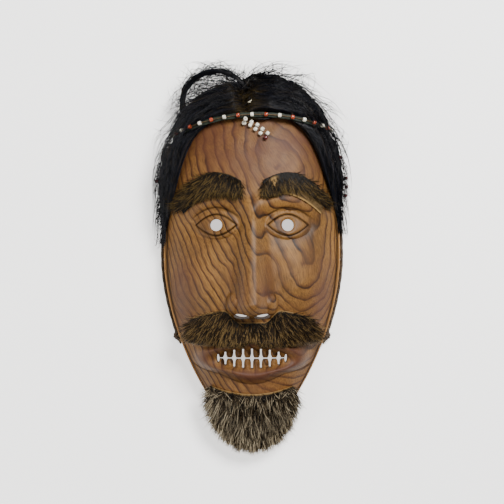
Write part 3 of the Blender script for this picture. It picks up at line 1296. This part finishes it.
def tie_solid(band, centre):
    """A thread through a side bead, its two ends bent back into the hair as half a turn of an ellipse."""
    turn = np.linspace(-0.75 * math.pi, 0.75 * math.pi, 25)
    inward = np.array([mask_middle[0] - centre[0], 0.0, 14 * mm - centre[2]])
    inward = inward / np.linalg.norm(inward)
    up = np.array([0.0, 1.0, 0.0])
    path = centre + up * (2.2 * mm * np.sin(turn))[:, None]
    path = path + inward * (2.4 * mm * (1.0 - np.cos(turn)))[:, None]
    return round_tube(path, np.full(len(path), band.thread_radius), 8)


def node_middle(name):
    """The middle of a solid's box in the frame."""
    low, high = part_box(name)
    return np.array((low + high) * 0.5)


class MASK_OT_headband(bpy.types.Operator):
    """Lay the headband, string its beads and add the pendant and side beads"""

    bl_idname = "mask.headband"
    bl_label = "Headband and Beads"

    def execute(self, context):
        band = context.scene.mask_band
        colours = context.scene.mask_colours
        hide = thin_hide("band_hide", colours.band, colours.band_rubbed, 2.2 * mm)
        sinew = thin_hide("sinew", colours.sinew, colours.sinew_rubbed, 1.5 * mm)
        glass = {
            "white_bead": bead_glass("white_glass", colours.bead_white),
            "coral_bead": bead_glass("coral_glass", colours.bead_coral),
            "dark_red_bead": bead_glass("dark_red_glass", colours.bead_red),
        }
        place(new_piece("headband_strip", *band_solid(band), hide, crease=60.0), "band_hide", "headband")
        slot_of = {part["node"]: part["material_slot"] for part in frame["record"]["subparts"]}
        names = sorted(name for name in frame["nodes"] if "bead_" in name)
        strings = {key: [node_middle(name) for name in names if name.startswith(key)]
                   for key in ("headband_bead", "pendant_bead")}
        for name in names:
            centre = node_middle(name)
            upright = [centre, centre + np.array([0.0, 1 * mm, 0.0])]
            run = np.array(strings.get(name.rsplit("_", 1)[0], upright))
            nearest = int(np.argmin(np.linalg.norm(run - centre, axis=1)))
            axis = run[min(nearest + 1, len(run) - 1)] - run[max(nearest - 1, 0)]
            solid = bead_solid(band, centre, axis)
            piece = new_piece(name + "_drilled", *solid, glass[slot_of[name]], crease=None, shifted=False)
            place(piece, slot_of[name], name)
        for key, run in strings.items():
            run = np.array(run)
            fine = np.linspace(0, len(run) - 1, 8 * len(run))
            path = np.stack([np.interp(fine, np.arange(len(run)), run[:, i]) for i in range(3)], axis=-1)
            sag = band.thread_sag if key == "headband_bead" else 0.0
            path[:, 2] -= np.abs(np.sin(math.pi * fine)) * sag
            thread = round_tube(path, np.full(len(path), band.thread_radius), 8)
            place(new_piece(key + "_thread", *thread, sinew, crease=None, shifted=False), "thong_hide")
        ties = joined([tie_solid(band, node_middle(name)) for name in names if name.startswith("side_bead")])
        place(new_piece("side_bead_ties", *ties, sinew, crease=None, shifted=False), "thong_hide")
        return {"FINISHED"}


# Pelts

comb_mark = 0.8 * mm


def pelt_grid(edges, columns, rows):
    """Places across a pelt: straight lines from its top edge curve to its lower edge curve."""
    u = np.linspace(0.0, 1.0, columns + 1)
    v = np.linspace(0.0, 1.0, rows + 1)[:, None]
    (top_x, top_y), (low_x, low_y) = edges(u)
    return u, v, top_x + (low_x - top_x) * v, top_y + (low_y - top_y) * v


def pelt_solid(face, pelts, edges, pile, floor, skin_of):
    """A thin pelt: underneath the wood plus a gap, on top that plus hide and a sine swell of underfur."""
    columns = 110
    rows = 28
    u, v, x, y = pelt_grid(edges, columns, rows)
    body = np.sin(math.pi * np.clip(0.04 + 0.9 * v, 0.0, 1.0)) ** 0.6
    ends = np.clip(np.sin(math.pi * (0.02 + 0.96 * u)), 0.0, 1.0) ** 0.5
    rough = 0.25 * mm * np.sin(x / (0.7 * mm)) * np.sin(y / (0.9 * mm) + 2.0 * np.sin(x / (3 * mm)))
    surface = face_height(face, x, y)
    outside = rim_distance(face, x, y) < 0.0
    bottom = np.where(outside, np.maximum(surface - 3 * mm, floor), surface + pelts.under_gap)
    swell = pelts.hide + 0.5 * pile * body * ends + rough
    top = np.stack([x, y, surface + pelts.under_gap + swell], axis=-1).reshape(-1, 3)
    under = np.stack([x, y, bottom], axis=-1).reshape(-1, 3)
    edge = rim_loop(rows + 1, columns + 1)
    quads = grid_quads(rows + 1, columns + 1)
    skin = np.clip(skin_of(u, v), 0.0, 1.0) + 0.0 * x
    fade = np.concatenate([skin.reshape(-1), np.ones(skin.size)])
    faces = [quads, quads[:, ::-1] + len(top), ring_band(edge, edge + len(top))]
    return np.concatenate([top, under]), faces, fade


def outward(points, faces):
    """The same faces, turned round if the volume that they enclose comes out negative."""
    volume = 0.0
    for group in faces:
        for i in range(1, group.shape[1] - 1):
            a, b, c = points[group[:, 0]], points[group[:, i]], points[group[:, i + 1]]
            volume += np.sum(a * np.cross(b, c))
    return faces if volume > 0.0 else [group[:, ::-1] for group in faces]


def pelt_hairs(face, edges, randoms, amount, pile, reach, comb, overhang, density=None):
    """Fur paths: roots spread over the pelt, each running with its comb direction, rising, then lying down.

    A tip passes the pelt's lower edge by the overhang at most, and a hair rooted above the rim leaves the
    wood in a slope of about seven tenths instead of following the steep side down.
    """
    stations = 5
    u = randoms.random(4 * amount)
    v = randoms.random(4 * amount) ** 0.9
    if density is not None:
        keep = randoms.random(4 * amount) < density(u, v)
        u, v = u[keep], v[keep]
    u, v = u[:amount], v[:amount]
    amount = len(u)
    order = np.argsort(u)
    u, v = u[order], v[order]
    (top_x, top_y), (low_x, low_y) = edges(u)
    x = (top_x + (low_x - top_x) * v)[:, None]
    y = (top_y + (low_y - top_y) * v)[:, None]
    t = np.linspace(0.0, 1.0, stations)[None, :]
    heading = comb(u) + randoms.normal(0.0, 0.16, amount)
    size = reach * randoms.uniform(0.6, 1.15, amount)
    fringe = np.maximum(bell(v / 0.07), bell(u / 0.03)) * randoms.random(amount)
    heading = heading + 1.3 * fringe * np.sign(randoms.random(amount) - 0.5)
    size = size * (1.0 - 0.6 * fringe)
    room = np.hypot(low_x - x[:, 0], low_y - y[:, 0]) + randoms.uniform(0.15, 1.0, amount) ** 1.5 * overhang
    size = np.minimum(size, room / np.maximum(np.abs(np.sin(heading)), 0.45))
    body = np.sin(math.pi * np.clip(0.06 + 0.86 * v, 0.0, 1.0)) ** 0.6
    bend = randoms.normal(0.0, 0.14, amount)
    angles = heading[:, None] + bend[:, None] * t
    x = x + size[:, None] * t * np.cos(angles)
    y = y + size[:, None] * t * np.sin(angles)
    stand = (0.35 + 0.65 * randoms.random(amount)) * pile * (0.35 + 0.65 * body)
    arch = 0.75 * np.sin(math.pi * np.clip(0.12 + 0.68 * t, 0.0, 1.0))
    height = 0.4 * mm + (0.45 * pile * body)[:, None] + stand[:, None] * arch
    surface = face_height(face, x, y)
    surface = np.maximum(surface, surface[:, :1] - 0.7 * size[:, None] * t)
    return np.stack([x, y, surface + height], axis=-1)


def brow_edges(face, pelts, side):
    """Edge curves of a brow: an arched middle line plus and minus half a swelling width."""
    def edges(u):
        x = pelts.brow_start + pelts.brow_length * u
        y = face.brow_level + 6 * mm + pelts.brow_arch * np.sin(math.pi * (0.12 + 0.72 * u))
        y = y - pelts.brow_fall * u * u
        half = pelts.brow_half_width * (0.62 + 0.5 * np.sin(math.pi * (0.1 + 0.75 * u)))
        lean = 5 * mm * u
        return (side * (x + lean), y + half), (side * (x - 0.2 * lean), y - half)
    return edges


def moustache_edges(pelts):
    """Edge curves of the moustache: hollow under the nose, drooping ends, combed tips and a notch below."""
    def edges(u):
        x = pelts.moustache_half * (2.0 * u - 1.0)
        part = np.abs(2.0 * u - 1.0)
        top = pelts.moustache_top + 10 * mm * step_up(part, 0.2, 0.45)
        top = top - 7 * mm * (np.clip(part - 0.45, 0.0, 1.0) / 0.55) ** 1.5
        tips = comb_mark * np.cos(math.pi * 26 * u)
        low = pelts.moustache_low + 4 * mm * part ** 2 + pelts.moustache_notch * bell(x / (5 * mm)) + tips
        return (x * 0.96, top), (x, low)
    return edges


def goatee_edges(pelts):
    """Edge curves of the goatee: a slightly hollow top edge, and below a half ellipse with combed tips."""
    def edges(u):
        turn = math.pi * (1.0 - u)
        x = pelts.goatee_half * np.cos(turn)
        hollow = 6 * mm * np.cos(turn) ** 2
        top = pelts.goatee_top + hollow
        depth = pelts.goatee_depth * (0.16 + 0.84 * np.clip(np.sin(turn), 0.0, 1.0) ** 0.95)
        tips = comb_mark * np.cos(math.pi * 18 * u) * np.sin(turn)
        return (x, top), (x, top - depth - hollow + tips)
    return edges


def fur_tones(name, colours, warmth):
    """A pelt material with its root, middle and tip tones warmed or cooled."""
    middle = tuple(c * w for c, w in zip(colours.fur_middle, warmth))
    tip = tuple(c * w for c, w in zip(colours.fur_tip, warmth))
    return brown_pelt(colours, name, colours.fur_root, middle, tip)


def lay_pelt(scene, name, node, material, edges, comb, amount, seed, fur, skin_of, density=None):
    """Makes one pelt and its fur, whose pile, reach and overhang come together."""
    pile, reach, overhang = fur
    face = scene.mask_face
    pelts = scene.mask_pelts
    randoms = np.random.default_rng(seed)
    points, faces, skin = pelt_solid(face, pelts, edges, pile, scene.mask_hair.lowest, skin_of)
    tone = 0.12 + 0.12 * np.sin(points[:, 0] / (0.6 * mm)) * np.sin(points[:, 1] / (0.8 * mm))
    attributes = {"along": tone, "shade": tone, "skin": skin}
    place(new_piece(name + "_pelt", points, outward(points, faces), material, attributes), "pelt", node)
    paths = pelt_hairs(face, edges, randoms, amount, pile, reach, comb, overhang, density)
    radii = hair_radii(paths, pelts.fur_radius, randoms)
    place(hair_piece(name + "_hairs", paths, radii, material, randoms), "pelt")


def worn_density(u, v):
    """Fur left on the worn brow: a tuft, a bare patch, a dark tuft and thin fur over a bare lower edge."""
    patch = bell((u - 0.17) / 0.06) * step_up(v, 0.02, 0.2) * (1.0 - step_up(v, 0.6, 0.8))
    low_edge = step_up(v, 0.5, 0.62) * step_up(u, 0.2, 0.3)
    thin = 0.45 * step_up(u, 0.42, 0.6)
    return np.clip(1.0 - patch - low_edge - thin, 0.02, 1.0)


def ragged_density(u, v):
    """Fur that thins out towards the lower edge and the outer end."""
    return np.clip(1.0 - 0.75 * step_up(v, 0.35, 0.95) - 0.35 * step_up(u, 0.6, 1.0), 0.05, 1.0)


def top_edge_skin(strength, width):
    """Bare hide in a thin line along the top edge: a strength by a bell of the way down over a width."""
    return lambda u, v: strength * bell(v / width) + 0.0 * u


def worn_skin(u, v):
    """Bare hide in the inner patch and along the lower edge."""
    patch = bell((u - 0.17) / 0.05) * step_up(v, 0.02, 0.2) * (1.0 - step_up(v, 0.55, 0.8))
    edge = 0.8 * bell((v - 0.97) / 0.035) * step_up(u, 0.2, 0.3)
    return 0.9 * patch + edge + 0.25 * step_up(v, 0.45, 0.7) * step_up(u, 0.25, 0.4)


class MASK_OT_pelts(bpy.types.Operator):
    """Lay the pelt brows, the moustache and the goatee with their fur"""

    bl_idname = "mask.pelts"
    bl_label = "Pelts"

    def execute(self, context):
        scene = context.scene
        pelts = scene.mask_pelts
        olive = fur_tones("brow_pelt", scene.mask_colours, (0.31, 0.28, 0.20))
        brown = fur_tones("moustache_pelt", scene.mask_colours, (0.55, 0.50, 0.46))
        greyish = fur_tones("goatee_pelt", scene.mask_colours, (1.3, 1.54, 2.5))
        down = -0.5 * math.pi
        lay_pelt(
            scene, "brow_left", "brow_fur_left", olive, brow_edges(scene.mask_face, pelts, -1),
            lambda u: math.radians(262) - math.radians(58) * u, pelts.brow_hairs, 21,
            pelts.left_fur, top_edge_skin(0.25, 0.03), ragged_density,
        )
        lay_pelt(
            scene, "brow_right", "brow_fur_right", olive, brow_edges(scene.mask_face, pelts, 1),
            lambda u: math.radians(-82) + math.radians(50) * u, pelts.brow_hairs, 22,
            pelts.right_fur, worn_skin, worn_density,
        )
        lay_pelt(
            scene, "moustache", "moustache_fur", brown, moustache_edges(pelts),
            lambda u: down + math.radians(52) * (2.0 * u - 1.0), pelts.moustache_hairs, 23,
            pelts.moustache_fur, top_edge_skin(0.8, 0.02),
        )
        lay_pelt(
            scene, "goatee", "goatee_fur", greyish, goatee_edges(pelts),
            lambda u: down + math.radians(22) * (2.0 * u - 1.0), pelts.goatee_hairs, 24,
            pelts.goatee_fur, top_edge_skin(0.8, 0.02),
        )
        return {"FINISHED"}


# Thongs along the rim

def thong_path(face, thongs, side, amount):
    """The thong's line: the outline between two heights, its radius out, swelling at the knot."""
    y = np.linspace(thongs.top, thongs.end, amount)
    edge_x, edge_y = outline_point(face, np.linspace(0.0, math.pi, 721) - 0.5 * math.pi)
    x = np.interp(y, edge_y, edge_x) + thongs.gap
    knot = bell((y - thongs.knot_at) / (2.6 * mm))
    return np.stack([side * (x + thongs.knot_shift * knot), y, np.full_like(y, thongs.level)], axis=-1), knot


def thong_solid(face, thongs, side):
    """A twisted thong: a round section with two shallow grooves that turn along it, knotted near its end."""
    stations = 300
    sides = 20
    path, knot = thong_path(face, thongs, side, stations)
    _, across, second = path_frames(path)
    turn = full_turn * np.arange(sides)[None, :] / sides
    way = np.arange(stations)[:, None] / stations
    radius = thongs.radius * (1.0 + 0.08 * np.cos(2.0 * turn + 60.0 * way))
    radius = radius + thongs.knot_radius * knot[:, None]
    radius = radius * (1.0 + 0.16 * knot[:, None] * np.cos(3.0 * turn + 400.0 * way))
    radius = radius * (1.0 - 0.35 * step_up(way, 0.94, 1.0))
    circle = across[:, None] * np.cos(turn)[..., None] + second[:, None] * np.sin(turn)[..., None]
    return rings_to_tube(path[:, None] + circle * radius[..., None])


class MASK_OT_thongs(bpy.types.Operator):
    """Tie the two dark thongs along the rim"""

    bl_idname = "mask.thongs"
    bl_label = "Rim Thongs"

    def execute(self, context):
        face = context.scene.mask_face
        colours = context.scene.mask_colours
        hide = thin_hide("thong_hide", colours.thong, colours.thong_rubbed, 1.6 * mm)
        for side, node in ((-1, "rim_cord_left"), (1, "rim_cord_right")):
            points, faces = thong_solid(face, context.scene.mask_thongs, side)
            piece = new_piece(node + "_twisted", points, outward(points, faces), hide, crease=60.0)
            place(piece, "thong_hide", node)
        return {"FINISHED"}


# Stage

class MASK_OT_stage(bpy.types.Operator):
    """Set the pale floor, the soft lights and the camera that looks down on the mask"""

    bl_idname = "mask.stage"
    bl_label = "Stage"

    def execute(self, context):
        scene = context.scene
        material, _, shader = new_material("pale_floor", Roughness=0.9)
        shader.inputs["Base Color"].default_value = (*scene.mask_colours.floor, 1.0)
        shader.inputs["Emission Color"].default_value = (*scene.mask_colours.floor, 1.0)
        floor_glow = 1.1
        shader.inputs["Emission Strength"].default_value = floor_glow
        half = 4.0
        corners = np.array([(-half, -half, 0.0), (half, -half, 0.0), (half, half, 0.0), (-half, half, 0.0)])
        floor = new_piece("floor", corners, [np.array([[0, 1, 2, 3]])], material, crease=None, shifted=False)
        world = bpy.data.worlds.new("soft_room")
        world.use_nodes = True
        background = world.node_tree.nodes["Background"]
        room_light = 0.25
        background.inputs["Color"].default_value = (*grey(1.0), 1.0)
        background.inputs["Strength"].default_value = room_light
        scene.world = world
        # Name, place and width in metres, and watts
        for name, place_of, size, power in (
            ("key_light", (0.6, 0.75, 1.3), 0.6, 57.0),
            ("fill_light", (-1.1, -0.35, 1.1), 1.2, 20.0),
        ):
            lamp = bpy.data.lights.new(name, "AREA")
            lamp.size = size
            lamp.energy = power
            holder = bpy.data.objects.new(name, lamp)
            holder.location = place_of
            holder.rotation_mode = "QUATERNION"
            holder.rotation_quaternion = (-Vector(place_of)).to_track_quat("-Z", "Y")
            scene.collection.objects.link(holder)
        picture_width = 433.4 * mm
        picture_rise = 6.45 * mm
        picture_level = 15 * mm
        camera = bpy.data.cameras.new("camera")
        camera.lens = 100.0
        camera.sensor_width = 36.0
        distance = picture_width * camera.lens / camera.sensor_width
        holder = bpy.data.objects.new("camera", camera)
        holder.location = (mask_middle[0], mask_middle[1] + picture_rise, picture_level + distance)
        scene.collection.objects.link(holder)
        scene.camera = holder
        return {"FINISHED"}


class MASK_PT_panel(bpy.types.Panel):
    """Buttons that make the mask piece by piece"""

    bl_idname = "MASK_PT_panel"
    bl_label = "Dance Mask"
    bl_space_type = "VIEW_3D"
    bl_region_type = "UI"
    bl_category = "Mask"

    def draw(self, context):
        for operator in OPERATORS:
            self.layout.operator(operator.bl_idname)
        for group_name in GROUPS:
            group = getattr(context.scene, group_name)
            box = self.layout.box()
            for name in group.bl_rna.properties.keys():
                if name not in ("rna_type", "name"):
                    box.prop(group, name)


OPERATORS = (MASK_OT_face, MASK_OT_hair, MASK_OT_headband, MASK_OT_pelts, MASK_OT_thongs, MASK_OT_stage)
GROUPS = {
    "mask_face": MaskFaceSizes,
    "mask_hair": MaskHairSizes,
    "mask_band": MaskBandSizes,
    "mask_pelts": MaskPeltSizes,
    "mask_thongs": MaskThongSizes,
    "mask_colours": MaskColours,
}
CLASSES = (*GROUPS.values(), *OPERATORS, MASK_PT_panel)


def register():
    for item in CLASSES:
        bpy.utils.register_class(item)
    for name, group in GROUPS.items():
        setattr(bpy.types.Scene, name, PointerProperty(type=group))


def unregister():
    for name in GROUPS:
        delattr(bpy.types.Scene, name)
    for item in reversed(CLASSES):
        bpy.utils.unregister_class(item)


def main():
    """Registers the classes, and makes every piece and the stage."""
    register()
    bpy.ops.mask.face()
    bpy.ops.mask.hair()
    bpy.ops.mask.headband()
    bpy.ops.mask.pelts()
    bpy.ops.mask.thongs()
    bpy.ops.mask.stage()


if __name__ == "__main__":
    main()
